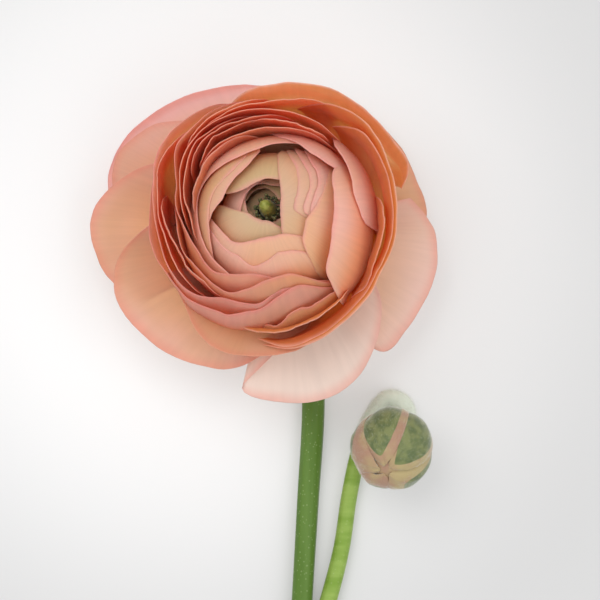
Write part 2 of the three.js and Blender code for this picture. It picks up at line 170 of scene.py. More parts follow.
# Petals that wrap from the cup's left side over the foot of the heart. A row holds its tone and points
# along the edge: direction, radius, height, and the petal's radius at the waist.
WRAP = [
    (0.5, ((97, 32.2, 30, 31.6), (106, 32.3, 32, 31.4), (117, 32.2, 32, 31.3), (125, 31.9, 32, 31),
        (132, 31.5, 32, 30.6), (139, 31.6, 32, 30.6), (145, 31.2, 31.5, 30), (151, 29.3, 31, 28.3),
        (156, 27.6, 31, 26.9), (163, 26.1, 31, 25.6), (170, 25.6, 31, 25.2), (178, 24.6, 31, 24.6),
        (186, 23, 31, 24), (193, 22, 31, 24), (206, 21.1, 30.5, 24.5), (216, 21.1, 30.5, 24.2),
        (226, 21, 30.5, 24), (241, 18.3, 30.8, 23.6), (256, 15.8, 31, 23.4), (277, 15.1, 31, 23.2),
        (306, 17, 30.6, 23.1), (317, 19.2, 29.6, 23.1))),
    (0.3, ((167, 27, 29, 26.6), (178, 25.4, 31, 25.2), (187, 24.7, 31, 24.7), (200, 24.8, 31, 24.8),
        (209, 24.3, 31, 24.9), (219, 23.6, 30.5, 25.3), (229, 23.4, 30, 25), (242, 22.9, 29.5, 24.6),
        (252, 20.5, 30, 24.2), (267, 17.6, 31, 24), (284, 16.4, 31.3, 23.9), (300, 16.9, 31, 23.8),
        (317, 19.4, 30, 23.7))),
    (1.0, ((108, 33, 27, 32.5), (116, 33.8, 30, 33.4), (125, 34.4, 31, 34.2), (134, 34.8, 31, 34.6),
        (142, 35, 31, 34.9), (148, 35, 31, 33.8), (155, 34.2, 31, 32.6), (162, 33.1, 31, 31.5),
        (170, 32.2, 31, 30.8), (180, 31, 31, 30.6), (193, 30.2, 30.5, 30.4), (206, 29.9, 30.5, 30.6),
        (218, 29.4, 30, 31.2), (225, 28.5, 29.5, 30.8), (231, 27, 29, 29.6), (238, 25, 28.5, 28.2),
        (250, 23.8, 28, 26.7), (261, 22.9, 27.5, 25.8), (271, 20.2, 28.3, 25.2), (283, 18, 30.7, 24.7),
        (300, 17.5, 31, 24.4), (317, 19.6, 30, 24.2))),
    (0.9, ((160, 34.6, 24, 34.4), (168, 33.6, 28, 33), (177, 32.8, 28.5, 32), (187, 32.9, 29, 32),
        (197, 32.3, 29, 31.7), (207, 31.4, 29, 31.3), (216, 30.9, 29, 31.2), (224, 30.6, 29, 31.7),
        (231, 29.4, 28.5, 31), (238, 28.5, 28.5, 30.4), (244, 28.2, 28, 30), (249, 27, 27.5, 29.5),
        (255, 25.5, 27, 28.7), (261, 24.2, 26.5, 28), (270, 21.9, 27.3, 26.6), (278, 20.4, 29, 25.8),
        (290, 18.8, 30.4, 25), (302, 18.4, 30.6, 24.7), (318, 20, 29.6, 24.5))),
    (0, ((256, 27, 17, 28), (265, 27.1, 22, 28.4), (269, 27.7, 22.5, 28.6), (273, 27, 23, 28.2),
        (278, 25.6, 24, 27.6), (286, 24.5, 25, 27), (294, 25, 25.5, 26.5), (303, 24.8, 25.5, 25.9),
        (310, 24.6, 25.5, 25.5), (319, 24.5, 23, 25.2))),
]

# Outer petals spread behind the cup. A row holds its tone, how pale it is, and points along the edge:
# direction, reach and height above the base. How pale is painted light, for thin petals with light
# shining through them.
SPREAD = [
    (0.0, 0, ((206, 31, 25), (221, 32, 23), (235, 35.4, 21), (248, 36.3, 19), (261, 35.2, 18),
        (273, 34, 17), (284, 32, 14), (296, 30, 10))),
    (0.4, 0.1, ((179, 32, 18), (187, 40, 13), (195, 45, 10), (205, 47, 8), (222, 45, 7), (238, 42, 6),
        (251, 39, 7), (264, 33, 11))),
    (0.8, 1.2, ((-90, 31, 8), (-97, 35.5, 6), (-104, 43.5, 3), (-87, 45.5, 1), (-70, 45, 1),
        (-54, 40, 2), (-38, 33, 4), (-28, 26, 8))),
    (0.4, 0, ((148, 33, 10), (160, 43, 5), (172, 49.5, 2), (180, 50.5, 1), (190, 49, 1),
        (197, 46.5, 2), (208, 41, 6))),
    (0.5, 0.5, ((-56, 34, -2), (-50, 41, -5), (-38, 41, -5), (-19, 41, -5), (-5, 40, -4),
        (3, 38.5, -3), (14, 34, 0))),
    (0.3, 0.1, ((125, 35, 0), (139, 44, -4), (146, 47, -6), (154, 49, -7), (164, 47.5, -7),
        (174, 42, -5))),
    (-0.2, 0, ((0, 34.5, -5), (8, 37.5, -7), (22, 37, -9), (38, 37.5, -11), (52, 38, -12),
        (66, 38, -12), (81, 35.5, -10))),
    (1.2, 0, ((86, 35.5, -10), (100, 40.5, -14), (111, 43, -15), (128, 46.5, -15), (145, 50, -14),
        (157, 50.5, -13), (168, 48, -11))),
]

# Centre line of the main stem as x, y, z and its radius there, from the neck to the cut end.
STEM = [
    (5.58, 68.03, 13.8, 3.1),
    (5.8, 67.7, 10.8, 3.05),
    (7.2, 64.4, 6.3, 3.0),
    (9.4, 58.8, 3.8, 3.0),
    (11.3, 51.6, 3.06, 3.04),
    (12.6, 39.9, 3.05, 3.05),
    (13.0, 23.4, 3.03, 3.03),
    (11.6, -2.0, 2.93, 2.93),
    (10.1, -27.4, 2.84, 2.84),
    (8.8, -49.8, 2.9, 2.9),
    (7.1, -77.1, 2.84, 2.84),
    (5.5, -107.0, 2.8, 2.8),
]

# The branch, from inside the main stem round its crook to the foot of the bud.
BRANCH = [
    (8.8, -52.5, 2.7, 2.0),
    (11.0, -46.5, 2.5, 2.2),
    (17.3, -27.4, 2.32, 2.3),
    (20.4, -15.0, 2.28, 2.25),
    (22.5, -1.0, 2.25, 2.2),
    (24.6, 9.0, 2.25, 2.2),
    (26.6, 15.5, 2.3, 2.25),
    (29.6, 21.0, 2.6, 2.4),
    (33.0, 24.2, 3.1, 2.6),
    (36.0, 23.2, 3.3, 2.7),
    (37.2, 20.6, 3.6, 2.8),
    (37.0, 18.3, 4.8, 2.8),
    (36.32, 16.62, 7.2, 2.8),
]

BUD_CENTRE = (33.6, 11.4, 18.0)
BUD_AXIS = (-0.19, -0.58, 0.79)
BUD_PETALS = 8.9
BUD_SEPALS = 10.2
BUD_TALL = 1.04

# The bud's sepals: direction and half width in degrees, and how far up its green reaches.
BUD_WRAP = [(43, 40, 0.93), (108, 40, 0.88), (180, 44, 0.66), (250, 44, 0.78), (322, 46, 0.8)]

FELT = (0.72, 0.79)  # share of the branch's length where its down begins, and where it is full
CROOK = slice(188, 252)  # the branch's rings that carry hairs
BUD_HAIRS = (4500, 0.5, 0.03, 61)  # on each sepal: count, length, width, seed
CROOK_HAIRS = (14000, 0.7, 0.04, 62)

# The pistil's outline as radius and height above the base, and the stamens round it.
PISTIL = [(1.9, 14.3), (2.3, 18), (2.2, 22), (1.9, 24.5), (1.3, 26.4), (0, 27.2)]
STAMENS = 46
STAMEN_FOOT = 14.6
STAMEN_TOP = 24
STAMEN_RADII = [0.18, 0.18, 0.2, 0.42, 0.2]  # from the foot to the anther's tip

# The receptacle and the calyx's collar as radius and height.
RECEPTACLE = [(0, -3), (4.6, -3), (6, 0), (5.2, 8), (4.6, 14), (0, 14)]
COLLAR = [(0, -4.4), (3.6, -4.35), (4.4, -4.0), (4.4, -3.5), (4.0, -3.3), (0, -3.3)]

# ---- Stage, in metres and watts ------------------------------------------------------------------

CAMERA = (0.0095, 0.0503, 2.4)
FOCUS_HEIGHT = 0.03
FRAME_WIDTH = 0.156  # what the camera sees at the focus height
SENSOR = 36  # millimetres
FLOOR_HALF = 12.0
# Painted light: the floor's colour and glow are brightest round GLOW_CENTRE and fade outward, a painted
# pool of light.
GLOW_CENTRE = (-0.02, 0.065, 0)
GLOW = (0.03, 0.13, 0.79, 0.55)  # nearest and furthest distance, and the brightness at each
LIGHTS = (
    ("soft_key", (-0.35, 0.45, 1.1), 0.8, 5.5),
    ("soft_fill", (0.6, -0.2, 0.9), 0.8, 3.0),
)
LIGHTS_AIM = (0, 0.05, 0.03)


# ---- Small tools ---------------------------------------------------------------------------------


def linear(hex_colour):
    """The linear colour of an sRGB hex value, one channel at a time by the sRGB curve."""
    channels = [int(hex_colour[k : k + 2], 16) / 255 for k in (1, 3, 5)]
    return tuple(c / 12.92 if c <= 0.04045 else ((c + 0.055) / 1.055) ** 2.4 for c in channels)


def mix(a, b, t):
    return a + (b - a) * t


def smooth(low, high, x):
    """0 below low and 1 above high, with an S-shaped cubic between."""
    t = np.clip((x - low) / (high - low), 0, 1)
    return t * t * (3 - 2 * t)


def along_edge(points, u):
    """The values of an edge's points as u goes from -1 to 1, by cubic Hermite pieces whose slopes are
    the central differences of the points."""
    points = np.array(points, dtype=float)
    slope = np.gradient(points, axis=0)
    place = (u + 1) / 2 * (len(points) - 1)
    k = np.clip(place.astype(int), 0, len(points) - 2)
    t = (place - k)[..., None]
    line = points[k] * (1 + 2 * t) * (1 - t) ** 2 + slope[k] * t * (1 - t) ** 2
    line = line + points[k + 1] * t * t * (3 - 2 * t) + slope[k + 1] * t * t * (t - 1)
    return np.moveaxis(line, -1, 0)


def axes_on(axis):
    """Three unit rows: x and y across the axis, z along it."""
    z = np.array(axis) / np.linalg.norm(axis)
    x = np.array([1.0, 0, 0]) - z * z[0]
    x /= np.linalg.norm(x)
    return np.array([x, np.cross(z, x), z])


BLOOM_AXES = axes_on(AXIS)
BUD_AXES = axes_on(BUD_AXIS)


def on_bloom(radius, angle, height):
    """Points at a radius, an angle in radians and a height on the bloom's axis, in the model's frame.
    Points nearer the axis and above the waist slide along LEAN in proportion to both."""
    share = np.maximum(0, 1 - radius / CUP_RADIUS) * np.maximum(0, height / WAIST - 0.8)
    x = radius * np.cos(angle) + LEAN[0] * share
    y = radius * np.sin(angle) + LEAN[1] * share
    local = np.stack([x, y, height], axis=-1)
    return local @ BLOOM_AXES + np.array(BASE)


def waves(u, seed, lobes=(2.3, 5.1, 9.7)):
    """Three sine waves across u, each lower than the last, with phases drawn from the seed."""
    phases = np.random.default_rng(seed).uniform(0, TAU, len(lobes))
    return sum(np.sin(f * u + p) / (1 + k) for k, (f, p) in enumerate(zip(lobes, phases))) / 1.83


def grid(across, along):
    """u from -1 to 1 across and v from 0 to 1 along, both closer together towards the edges."""
    u = np.sin(np.linspace(-1, 1, across + 1) * math.pi / 2)
    v = 1 - (1 - np.linspace(0, 1, along + 1)) ** 1.3
    return np.meshgrid(u, v)


def petal_angle(points, angle, v):
    """The angle round the bloom in radians: narrow at the root, and out to the edge's own angle from
    half way up."""
    direction = (points[0][0] + points[-1][0]) / 2
    fullness = ROOT_WIDTH + (1 - ROOT_WIDTH) * np.sin(np.minimum(1, v / 0.55) * math.pi / 2)
    return np.radians(direction + (angle - direction) * fullness)


# ---- Petal surfaces ------------------------------------------------------------------------------


def heart_surface(points, shells, u, v, seed):
    """Closing petal: radius and height run up an oval to its widest at the waist, then over a flatter
    crown, radius = shell * sin^CROWN, to where the edge comes within its reach of the axis. The last of
    it rolls in towards the middle, by ROLL * exp(-way to the edge / EDGE_WIDTH)."""
    angle, reach = along_edge(points, u)
    shell_radius = mix(*shells, (u + 1) / 2)
    bottom = WAIST * shell_radius / CUP_RADIUS
    crown = np.minimum(1.05 * shell_radius - 4.3, CROWN_TOP)
    reach = np.clip(reach + 0.2 * waves(3 * u, seed), 1.6, 0.99 * shell_radius)
    start = np.arcsin(ROOT_RADIUS / shell_radius)
    end = math.pi - np.arcsin((reach / shell_radius) ** (1 / CROWN)) - 0.2 * np.abs(u) ** 10
    turn = mix(start, np.maximum(end, math.pi / 2 + 0.05), v)
    sine = np.sin(turn)
    upper = turn > math.pi / 2
    height = WAIST - np.where(upper, crown, bottom) * np.cos(turn)
    swell = 0.16 * waves(2 * u + v, seed + 1) * v + 0.08 * waves(4 * u, seed + 2) * v**4
    around = (shell_radius + 0.15 * u + swell) * np.where(upper, sine**CROWN, sine)
    shrink = 1 - ROLL / shell_radius * np.exp(-(1 - v) * 2.4 * shell_radius / EDGE_WIDTH)
    around = around * shrink
    height = WAIST + (height - WAIST) * shrink
    return on_bloom(around, petal_angle(points, angle, v), height)


def cup_surface(points, lip, u, v, seed):
    """Standing petal: an oval up to the waist, then a wall that reaches its edge radius as a parabola.
    The edge is waved in and out and up and down, and runs down the wall at both ends. Its last
    EDGE_WIDTH leans in by the lip."""
    angle, edge, edge_height, waist = along_edge(points, u)
    bottom = WAIST * waist / CUP_RADIUS
    start = np.arcsin(ROOT_RADIUS / waist)
    rise = np.maximum(0, 2 * v - 1) * (1 - 0.85 * np.abs(u) ** 9)
    turn = mix(start, math.pi / 2, np.minimum(1, 2 * v))
    height = WAIST - bottom * np.cos(turn)
    height = height + (edge_height + 0.25 * waves(5 * u, seed) - WAIST) * rise
    around = waist * np.sin(turn) + (edge - waist) * rise**2
    around = around + 0.2 * waves(5 * u, seed + 1) * rise**2 + 0.12 * waves(3 * u + 2 * v, seed + 2) * v
    around = around - lip * np.exp(-(1 - rise) * (edge_height - WAIST) / EDGE_WIDTH)
    return on_bloom(around, petal_angle(points, angle, v), height)


def spread_surface(points, _, u, v, seed):
    """Spreading petal: a cubic curve from the receptacle out to the edge, with long low waves that grow
    towards the edge. It lies flat where it meets the ground."""
    angle, reach, edge_height = along_edge(points, u)
    reach = reach + 0.25 * waves(3 * u, seed)
    level = (edge_height - 22) / 33  # 0 for an edge 22 mm up, -1 for one 11 mm below the base
    along = (3.8, 0.42 * reach, 0.76 * reach, reach)
    above = (-0.6 + 1.6 * level, 1.2 + 3.2 * level, mix(12, -1.2, -level), edge_height)
    weight = ((1 - v) ** 3, 3 * v * (1 - v) ** 2, 3 * v * v * (1 - v), v**3)
    around = sum(a * w for a, w in zip(along, weight))
    height = sum(a * w for a, w in zip(above, weight))
    height = height + (0.5 * waves(2.5 * u, seed + 1) + 0.15 * waves(7 * u, seed + 2)) * v**3
    points = on_bloom(around, petal_angle(points, angle, v), height)
    points[..., 2] = np.maximum(points[..., 2], 0.2)
    return points


def bud_sepal_sheet(direction, half_width, seed, u, v):
    """Sepal of the closed bud: part of a tall ball from the foot at 11 degrees to 171 at its tip, one
    side over the next sepal and the other under the last. It swells along its middle."""
    climb = np.radians(mix(11, 171 - 20 * np.abs(u) ** 2.5, v))
    turn = np.radians(direction + u * half_width * mix(0.9, 1.2 - 0.2 * v, v))
    swell = 0.9 * (1 - u * u) * np.sin(v * math.pi)
    radius = BUD_SEPALS - 0.3 - 0.4 * u + swell + 0.2 * waves(2 * u + 3 * v, seed)
    radius = radius - 0.9 * v**6
    local = (np.sin(climb) * np.cos(turn), np.sin(climb) * np.sin(turn), -BUD_TALL * np.cos(climb))
    return (radius[..., None] * np.stack(local, axis=-1)) @ BUD_AXES + np.array(BUD_CENTRE)


def stem_ribs(angle, t):
    """Eleven shallow grooves round a stem, and a slow wobble along it, as a share of the radius."""
    return 0.012 * (np.sin(11 * angle) - 1) + 0.012 * (np.sin(9 * t + 2 * angle) - 1)


def plain(angle, t):
    """No relief, for a smooth rod."""
    return 0 * angle * t


# ---- Meshes --------------------------------------------------------------------------------------


def sheet_normals(points):
    """Unit normals of a grid of points, by central differences."""
    normal = np.cross(np.gradient(points, axis=1), np.gradient(points, axis=0))
    return normal / np.maximum(np.linalg.norm(normal, axis=-1, keepdims=True), 1e-9)


def shell(points, thickness):
    """A closed thin shell on a grid of points: each point moves half the thickness along the surface's
    normal to either side, and a strip closes the rim. Returns vertices, quads, and the side of each
    vertex, 0 on the outer face and 1 on the inner."""
    rows, columns = points.shape[:2]
    half = np.broadcast_to(thickness, (rows, columns)) / 2
    offset = sheet_normals(points) * half[..., None]
    vertices = np.concatenate([(points + offset).reshape(-1, 3), (points - offset).reshape(-1, 3)])
    index = np.arange(rows * columns).reshape(rows, columns)
    corners = [index[:-1, :-1], index[:-1, 1:], index[1:, 1:], index[1:, :-1]]
    upper = np.stack(corners, axis=-1).reshape(-1, 4)
    lower = upper[:, ::-1] + rows * columns
    rim = np.concatenate([index[0, :-1], index[:-1, -1], index[-1, :0:-1], index[:0:-1, 0]])
    after = np.roll(rim, -1)
    strip = np.stack([rim + rows * columns, after + rows * columns, after, rim], axis=-1)
    side = np.repeat([0.0, 1.0], rows * columns)
    return vertices, np.concatenate([upper, lower, strip]), side


def tube_faces(rings, around):
    """Quads between rings of points, and a fan at either end to a point of its own. The two points come
    after the rings'."""
    index = np.arange(rings * around).reshape(rings, around)
    after = np.roll(index, -1, axis=1)
    corners = [index[:-1], after[:-1], after[1:], index[1:]]
    first, last = rings * around, rings * around + 1
    start = np.stack([np.full(around, first), after[0], index[0]], axis=-1)
    end = np.stack([np.full(around, last), index[-1], after[-1]], axis=-1)
    return np.stack(corners, axis=-1).reshape(-1, 4).tolist() + start.tolist() + end.tolist()


def joined(parts):
    """The vertices and the faces of several pairs of vertices and faces, as one pair."""
    faces, count = [], 0
    for points, polygons in parts:
        faces += [[i + count for i in face] for face in polygons]
        count += len(points)
    return np.concatenate([points for points, _ in parts]), faces


def make_mesh(name, vertices, faces, attributes=None, uv=None):
    """A smooth mesh object of vertices in millimetres, with point attributes and a map where given."""
    mesh = bpy.data.meshes.new(name)
    faces = faces.tolist() if isinstance(faces, np.ndarray) else faces
    mesh.from_pydata((np.asarray(vertices) * MM).tolist(), [], faces)
    for key, values in (attributes or {}).items():
        data = mesh.attributes.new(key, "FLOAT", "POINT").data
        data.foreach_set("value", np.ravel(values).astype(np.float32))
    if uv is not None:
        corner = np.empty(len(mesh.loops), dtype=np.int32)
        mesh.loops.foreach_get("vertex_index", corner)
        data = mesh.uv_layers.new(name="petal").data
        data.foreach_set("uv", uv[corner].ravel().astype(np.float32))
    mesh.polygons.foreach_set("use_smooth", np.ones(len(mesh.polygons), dtype=bool))
    mesh.update()
    piece = bpy.data.objects.new(name, mesh)
    bpy.context.collection.objects.link(piece)
    return piece


def petal_piece(name, surface, petals):
    """One object of many petals. Each petal is (edge points, shape, seed, tone, extra, across, along),
    where shape is what its surface takes beside the edge. The attributes are inset, the millimetres in
    from the petal's edge; side, 1 on the inner face; tone and extra, one value for each petal."""
    vertices, faces, uvs = [], [], []
    attributes = {key: [] for key in ("inset", "side", "tone", "extra")}
    count = 0
    for points, shape, seed, tone, extra, across, along in petals:
        u, v = grid(across, along)
        sheet = surface(points, shape, u, v, seed)
        step = np.linalg.norm(np.diff(sheet, axis=0), axis=-1)
        length = np.concatenate([np.zeros((1, across + 1)), np.cumsum(step, axis=0)])
        stride = np.linalg.norm(np.diff(sheet, axis=1), axis=-1)
        width = np.concatenate([np.zeros((along + 1, 1)), np.cumsum(stride, axis=1)], axis=1)
        inset = np.minimum(length[-1:] - length, 0.5 + np.minimum(width, width[:, -1:] - width) * 1.6)
        thickness = 0.14 + 0.22 * np.minimum(1, inset / 4)
        body, quads, side = shell(sheet, thickness)
        vertices.append(body)
        faces.append(quads + count)
        count += len(body)
        uvs.append(np.tile(np.stack([(u + 1) / 2 + 3 * seed, v], axis=-1).reshape(-1, 2), (2, 1)))
        attributes["inset"].append(np.tile(inset.ravel(), 2))
        attributes["side"].append(side)
        attributes["tone"].append(np.full(len(body), tone))
        attributes["extra"].append(np.full(len(body), extra))
    attributes = {key: np.concatenate(values) for key, values in attributes.items()}
    vertices, faces, uv = (np.concatenate(part) for part in (vertices, faces, uvs))
    return make_mesh(name, vertices, faces, attributes, uv)


def path_frames(rows, steps):
    """A smooth line through rows of x, y, z, radius by cubic Hermite pieces, and a frame along it that
    turns as little as it can. Returns centres, sides, ups and radii."""
    rows = np.array(rows, dtype=float)
    gaps = np.linalg.norm(np.diff(rows[:, :3], axis=0), axis=1)
    place = np.concatenate([[0], np.cumsum(gaps)])
    slope = np.gradient(rows, place, axis=0)
    t = np.linspace(0, place[-1], steps + 1)
    k = np.clip(np.searchsorted(place, t, side="right") - 1, 0, len(rows) - 2)
    h = (place[k + 1] - place[k])[:, None]
    s = (t - place[k])[:, None] / h
    line = (
        rows[k] * (1 + 2 * s) * (1 - s) ** 2
        + slope[k] * h * s * (1 - s) ** 2
        + rows[k + 1] * s * s * (3 - 2 * s)
        + slope[k + 1] * h * s * s * (s - 1)
    )
    centre, radius = line[:, :3], line[:, 3]
    tangent = np.gradient(centre, axis=0)
    tangent /= np.linalg.norm(tangent, axis=1, keepdims=True)
    sides = np.empty_like(centre)
    side = np.array([1.0, 0, 0])
    for n, along in enumerate(tangent):
        side = side - along * (side @ along)
        side /= np.linalg.norm(side)
        sides[n] = side
    return centre, sides, np.cross(tangent, sides), radius


def rod(rows, steps, around, relief):
    """A round rod along a line. relief(angle, t) gives the share by which the radius grows. The ends are
    closed by fans. Returns vertices, faces and the share of the way along of each vertex."""
    centre, sides, ups, radius = path_frames(rows, steps)
    angle = np.linspace(0, TAU, around, endpoint=False)
    t = np.linspace(0, 1, steps + 1)[:, None]
    reach = radius[:, None] * (1 + relief(angle[None, :], t))
    ring = centre[:, None] + reach[..., None] * (
        np.cos(angle)[None, :, None] * sides[:, None] + np.sin(angle)[None, :, None] * ups[:, None]
    )
    vertices = np.concatenate([ring.reshape(-1, 3), centre[:1], centre[-1:]])
    share = np.concatenate([np.repeat(t.ravel(), around), [0.0, 1.0]])
    return vertices, tube_faces(steps + 1, around), share


def turned(profile, around, axes, base):
    """A turned surface whose profile of radius, height starts and ends on the axis."""
    profile = np.array(profile, dtype=float)
    angle = np.linspace(0, TAU, around, endpoint=False)
    radius, height = profile[1:-1, :1], profile[1:-1, 1:]
    ring = [radius * np.cos(angle), radius * np.sin(angle), height + 0 * angle]
    local = np.stack(ring, axis=-1).reshape(-1, 3)
    local = np.concatenate([local, [[0, 0, profile[0, 1]], [0, 0, profile[-1, 1]]]])
    return local @ axes + np.array(base), tube_faces(len(height), around)


def hair_blades(sheets, count, length, width, seed):
    """Short hairs on sheets of points, each a narrow blade of two faces that stands along the surface's
    normal with a random lean, its middle 0.55 of the way up and its tip bent further. None reaches the
    floor. Returns vertices and faces."""
    draw = np.random.default_rng(seed)
    roots, outs = [], []
    for sheet in sheets:
        row, column = (draw.uniform(0, size - 1.001, count) for size in sheet.shape[:2])
        i, j = row.astype(int), column.astype(int)
        a, b = (row - i)[:, None], (column - j)[:, None]
        near = mix(sheet[i, j], sheet[i, j + 1], b)
        far = mix(sheet[i + 1, j], sheet[i + 1, j + 1], b)
        roots.append(mix(near, far, a))
        outs.append(sheet_normals(sheet)[i, j])
    root, out = np.concatenate(roots), np.concatenate(outs)
    lean = draw.normal(0, 0.35, root.shape)
    reach = length * draw.uniform(0.5, 1.1, len(root))[:, None]
    across = np.cross(out, draw.normal(size=root.shape))
    across *= width / 2 / np.maximum(np.linalg.norm(across, axis=1, keepdims=True), 1e-9)
    middle = root + (out + 0.5 * lean) * reach * 0.55
    tip = root + (out + lean) * reach
    blade = [root - across, root + across, middle + 0.7 * across, middle - 0.7 * across, tip]
    vertices = np.stack(blade, axis=1)
    vertices = vertices[vertices[:, :, 2].min(axis=1) > FLOOR_GAP]
    first = 5 * np.arange(len(vertices))[:, None]
    quads = (first + np.array([0, 1, 2, 3])).tolist()
    tips = (first + np.array([3, 2, 4])).tolist()
    return vertices.reshape(-1, 3), quads + tips


# ---- Materials -----------------------------------------------------------------------------------


def put(tree, kind, inputs=None, **settings):
    """Adds one node with its settings, and sets or links its inputs."""
    node = tree.nodes.new(kind)
    for key, value in settings.items():
        setattr(node, key, value)
    for key, value in (inputs or {}).items():
        if isinstance(value, bpy.types.NodeSocket):
            tree.links.new(value, node.inputs[key])
        else:
            node.inputs[key].default_value = value
    return node


def new_material(name):
    material = bpy.data.materials.new(name)
    material.use_nodes = True
    material.node_tree.nodes.clear()
    return material, material.node_tree


def rgba(colour):
    return (*colour, 1.0)


def blend_colours(tree, share, first, second):
    """The colour a share of the way from the first colour to the second."""
    return put(tree, "ShaderNodeMix", {0: share, 6: first, 7: second}, data_type="RGBA").outputs[2]


def ramp(tree, value, low, high, start=0.0, end=1.0):
    """A smooth step from start at low to end at high."""
    inputs = {"Value": value, "From Min": low, "From Max": high, "To Min": start, "To Max": end}
    return put(tree, "ShaderNodeMapRange", inputs, interpolation_type="SMOOTHSTEP").outputs[0]


def calculate(tree, operation, *values):
    """The result of one operation on its values in order."""
    return put(tree, "ShaderNodeMath", dict(enumerate(values)), operation=operation).outputs[0]


def petal_tissue(name, look):
    """Living petal tissue: thin, moist and soft, so it scatters light and lets some through. It is paler
    near the edge, pink along the rim, and deep orange further in, sooner on the inner face: that deep
    orange is painted shade and painted glow of light through stacked petals in the bloom's creases.
    It is cream again at the claw. extra turns it towards the look's third colour."""
    material, tree = new_material(name)
    read = {
        key: put(tree, "ShaderNodeAttribute", attribute_name=key).outputs["Fac"]
        for key in ("inset", "side", "tone", "extra")
    }
    uv = put(tree, "ShaderNodeUVMap", uv_map="petal").outputs["UV"]
    fan = put(tree, "ShaderNodeMapping", {"Vector": uv, "Scale": (40, 2.2, 1)}).outputs["Vector"]
    fine = {"Vector": fan, "Scale": 1.0, "Detail": 3.0, "Roughness": 0.55}
    veins = put(tree, "ShaderNodeTexNoise", fine).outputs["Fac"]
    place = put(tree, "ShaderNodeTexCoord").outputs["Object"]
    near = {"Vector": place, "Scale": 110.0, "Detail": 2.0}
    cloud = put(tree, "ShaderNodeTexNoise", near).outputs["Fac"]
    wide = {"Vector": place, "Scale": 60.0, "Detail": 1.0}
    soft = put(tree, "ShaderNodeTexNoise", wide).outputs["Fac"]

    uneven = calculate(tree, "MULTIPLY_ADD", cloud, look["cloud"], read["inset"])
    within = calculate(tree, "MULTIPLY_ADD", read["side"], look["inner"], uneven)
    tone = calculate(tree, "MULTIPLY_ADD", soft, 1.4, calculate(tree, "SUBTRACT", read["tone"], 0.7))
    tone = put(tree, "ShaderNodeClamp", {"Value": tone}).outputs[0]
    body = blend_colours(tree, tone, rgba(look["peach"]), rgba(look["pink"]))
    body = blend_colours(tree, read["extra"], body, rgba(look["third"]))
    # Painted shade: further in from the edge the tissue turns to the deep colour, which stands for the
    # shade and orange glow of light through stacked petals in creases and crevices.
    deep = ramp(tree, within, *look["deep"])
    deep = calculate(tree, "MULTIPLY", deep, calculate(tree, "SUBTRACT", 1.0, read["extra"]))
    root = blend_colours(tree, tone, rgba(look["root"]), rgba(look["red"]))
    body = blend_colours(tree, deep, body, root)
    body = blend_colours(tree, ramp(tree, within, *look["claw"]), body, rgba(look["base"]))
    rim = ramp(tree, uneven, 0.3, look["margin"], look["blush"], 0.0)
    body = blend_colours(tree, rim, body, rgba(look["rim"]))
    streak = ramp(tree, veins, 0.25, 0.75, 1 - look["vein"], 1 + look["vein"])
    streaked = {0: body, "Scale": streak}
    colour = put(tree, "ShaderNodeVectorMath", streaked, operation="SCALE").outputs[0]
    relief = {"Height": veins, "Strength": 0.12, "Distance": 0.0002}
    bump = put(tree, "ShaderNodeBump", relief).outputs["Normal"]
    inputs = {
        "Base Color": colour,
        "Normal": bump,
        "Roughness": 0.5,
        "IOR": 1.4,
        "Specular IOR Level": 0.3,
        "Sheen Weight": 0.1,
        "Sheen Roughness": 0.5,
    }
    skin = put(tree, "ShaderNodeBsdfPrincipled", inputs).outputs[0]
    through = put(tree, "ShaderNodeBsdfTranslucent", {"Color": colour, "Normal": bump}).outputs[0]
    blend = put(tree, "ShaderNodeMixShader", {0: look["thin"], 1: skin, 2: through})
    put(tree, "ShaderNodeOutputMaterial", {"Surface": blend.outputs[0]})
    return material


DOWN = linear("#DDE2D8")  # white down over green
PORES = linear("#B9C795")


def plant_skin(name, dark, light, scale, stretch=(1, 1, 1), roughness=0.5, bloom=0.2, specks=0.0):
    """Green plant skin: a waxy cuticle over uneven tissue, so two greens in soft patches and a low
    sheen. scale is patches to the metre and stretch turns them into streaks; bloom is the down that
    pales the skin where it turns away, and specks the share of pale pores. The attribute felt marks the
    skin under white down."""
    material, tree = new_material(name)
    place = put(tree, "ShaderNodeTexCoord").outputs["Object"]
    streak = put(tree, "ShaderNodeMapping", {"Vector": place, "Scale": stretch}).outputs["Vector"]
    uneven = {"Vector": streak, "Scale": scale, "Detail": 3.0}
    patch = put(tree, "ShaderNodeTexNoise", uneven).outputs["Fac"]
    colour = blend_colours(tree, ramp(tree, patch, 0.3, 0.7), rgba(dark), rgba(light))
    felt = put(tree, "ShaderNodeAttribute", attribute_name="felt").outputs["Fac"]
    colour = blend_colours(tree, felt, colour, rgba(DOWN))
    if specks:
        cells = put(tree, "ShaderNodeTexVoronoi", {"Vector": place, "Scale": 900.0})
        dots = ramp(tree, cells.outputs["Distance"], 0.1, 0.28, specks, 0.0)
        colour = blend_colours(tree, dots, colour, rgba(PORES))
    fine = put(tree, "ShaderNodeTexNoise", {"Vector": place, "Scale": 2600.0, "Detail": 2.0})
    relief = {"Height": fine.outputs["Fac"], "Strength": 0.15, "Distance": 0.0001}
    bump = put(tree, "ShaderNodeBump", relief).outputs["Normal"]
    return finish_skin(material, tree, colour, bump, roughness, bloom)


def finish_skin(material, tree, colour, bump, roughness, bloom):
    """A cuticle of the given colour with down that pales it where it turns away."""
    inputs = {
        "Base Color": colour,
        "Normal": bump,
        "Roughness": roughness,
        "IOR": 1.45,
        "Specular IOR Level": 0.35,
        "Sheen Weight": bloom,
        "Sheen Roughness": 0.35,
    }
    skin = put(tree, "ShaderNodeBsdfPrincipled", inputs)
    put(tree, "ShaderNodeOutputMaterial", {"Surface": skin.outputs[0]})
    return material


